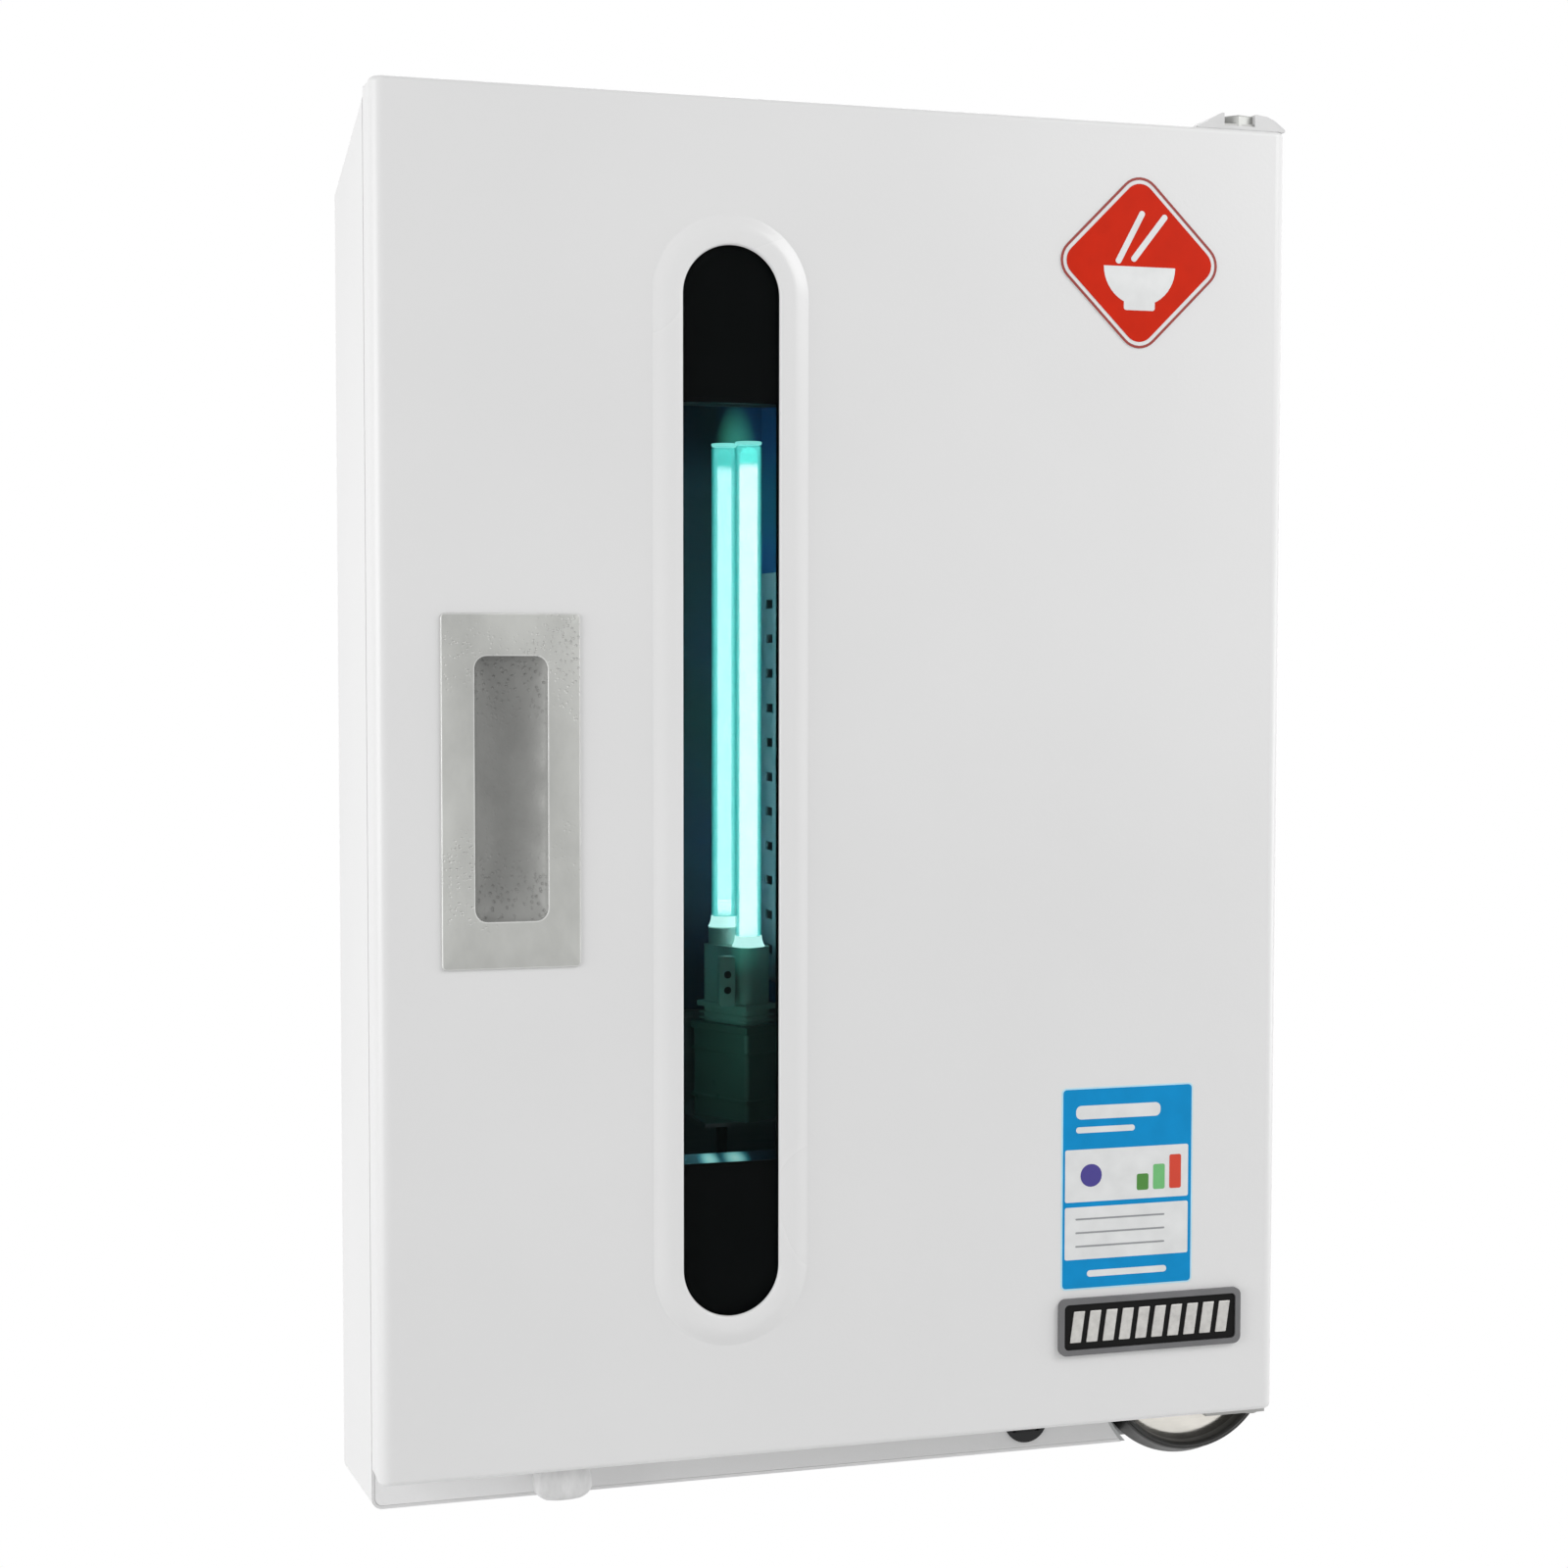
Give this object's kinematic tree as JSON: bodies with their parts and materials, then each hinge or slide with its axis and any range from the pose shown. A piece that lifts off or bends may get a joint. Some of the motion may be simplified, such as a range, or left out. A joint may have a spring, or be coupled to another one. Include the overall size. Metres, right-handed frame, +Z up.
{
  "type": "wall-hung chopstick sterilizer cabinet",
  "caption": "Flat white wall cabinet with a side-hinged door, a tall lit window, a recessed pull, an ultraviolet lamp and hanging chopstick baskets.",
  "frame": {"origin": "centre of the four wall-screw holes, on the wall face of the back panel", "axes": "+X right seen from the front, +Y towards the wall, +Z up; the door's front faces -Y"},
  "size_m": [0.3752, 0.1118, 0.5499],
  "materials": {
    "white_coat": "fine satin white powder coat",
    "galvanised": "dull zinc-coated sheet",
    "liner_steel": "brushed stainless sheet",
    "inner_white": "smooth white enamel",
    "bezel_white": "smooth moulded white",
    "window_tint": "dark tinted flat glass",
    "black_board": "matt black",
    "handle_satin": "satin grey casting with fine pitting",
    "dial_face": "polished domed metal",
    "grip_rubber": "matt black rubber",
    "seal_grey": "soft grey strip",
    "silicone": "milky translucent silicone",
    "hinge_steel": "bright zinc plate",
    "hinge_cover": "satin moulded grey",
    "screw_zinc": "bright zinc screws",
    "nylon": "natural nylon",
    "lamp_glass": "glowing teal quartz tube",
    "lamp_plastic": "grey moulded lamp cap",
    "lamp_socket": "dark moulded socket",
    "reflector": "polished aluminium trough",
    "basket_steel": "perforated stainless sheet",
    "ballast_coat": "grey enamelled laminations",
    "electric_black": "moulded black",
    "well_grey": "moulded light grey",
    "lead_black": "black cable sheath",
    "badge_red": "glossy red enamel",
    "label_blue": "printed coated paper",
    "plate_frame": "grey cast frame",
    "plate_field": "black enamel",
    "magnet": "dark ferrite in a plastic case"
  },
  "bodies": {
    "cabinet": {"body_shell": "white_coat", "back_panel": "galvanised", "back_panel_screws": "screw_zinc", "front_fascia": "white_coat", "chamber_liner": "liner_steel", "dial_well": "well_grey", "timer_body": "electric_black", "switch_housing": "electric_black", "lamp_tube": "lamp_glass", "lamp_base": "lamp_plastic", "lamp_holder": "lamp_socket", "lamp_bracket": "liner_steel", "lamp_reflector": "reflector", "lamp_lead": "lead_black", "lead_grommet": "grip_rubber", "basket_rails": "liner_steel", "ballast": "ballast_coat", "terminal_block": "nylon", "cable_gland": "electric_black", "door_switch_body": "electric_black", "magnet_catch": "magnet", "top_hinge_bracket": "hinge_steel", "top_hinge_cap": "hinge_cover", "top_hinge_pin": "hinge_steel", "hinge_cap_screw": "screw_zinc", "bottom_hinge_bracket": "hinge_steel", "bottom_hinge_pin": "hinge_steel", "hinge_screws": "screw_zinc"},
    "door": {"door_shell": "white_coat", "door_inner_panel": "inner_white", "inner_panel_screws": "screw_zinc", "window_bezel": "bezel_white", "window_glass": "window_tint", "window_mask": "black_board", "window_spacer": "black_board", "recessed_handle": "handle_satin", "door_seal": "seal_grey", "strike_plate": "hinge_steel", "door_pull_tab": "silicone", "badge": "badge_red", "info_label": "label_blue", "nameplate_frame": "plate_frame", "nameplate_field": "plate_field", "hinge_bushes": "nylon"},
    "rocker": {"power_rocker": "electric_black"},
    "dial": {"timer_dial": "dial_face", "dial_grip_ring": "grip_rubber", "timer_shaft": "hinge_steel"},
    "plunger": {"door_switch_plunger": "nylon"},
    "left_basket": {"basket_left": "basket_steel"},
    "right_basket": {"basket_right": "basket_steel"}
  },
  "joints": [
    {"name": "door_hinge", "type": "hinge", "parent": "cabinet", "child": "door", "pos_m": [0.1738, -0.1, 0], "axis": [0, 0, 1], "range_deg": [0, 110]},
    {"name": "rocker_tilt", "type": "hinge", "parent": "cabinet", "child": "rocker", "pos_m": [0.0812, -0.0848, -0.2576], "axis": [0, 0, 1], "range_deg": [-8, 8]},
    {"name": "dial_turn", "type": "hinge", "parent": "cabinet", "child": "dial", "pos_m": [0.1554, -0.0758, -0.2412], "axis": [0, 1, 0], "range_deg": [0, 300]},
    {"name": "plunger_press", "type": "slide", "parent": "cabinet", "child": "plunger", "axis": [0, 1, 0], "range_m": [0, 0.0015], "stiffness_N_per_m": 150, "springref_m": -0.003},
    {"name": "left_basket_lift", "type": "slide", "parent": "cabinet", "child": "left_basket", "axis": [0, 0, 1], "range_m": [0, 0.012]},
    {"name": "right_basket_lift", "type": "slide", "parent": "cabinet", "child": "right_basket", "axis": [0, 0, 1], "range_m": [0, 0.012]}
  ]
}
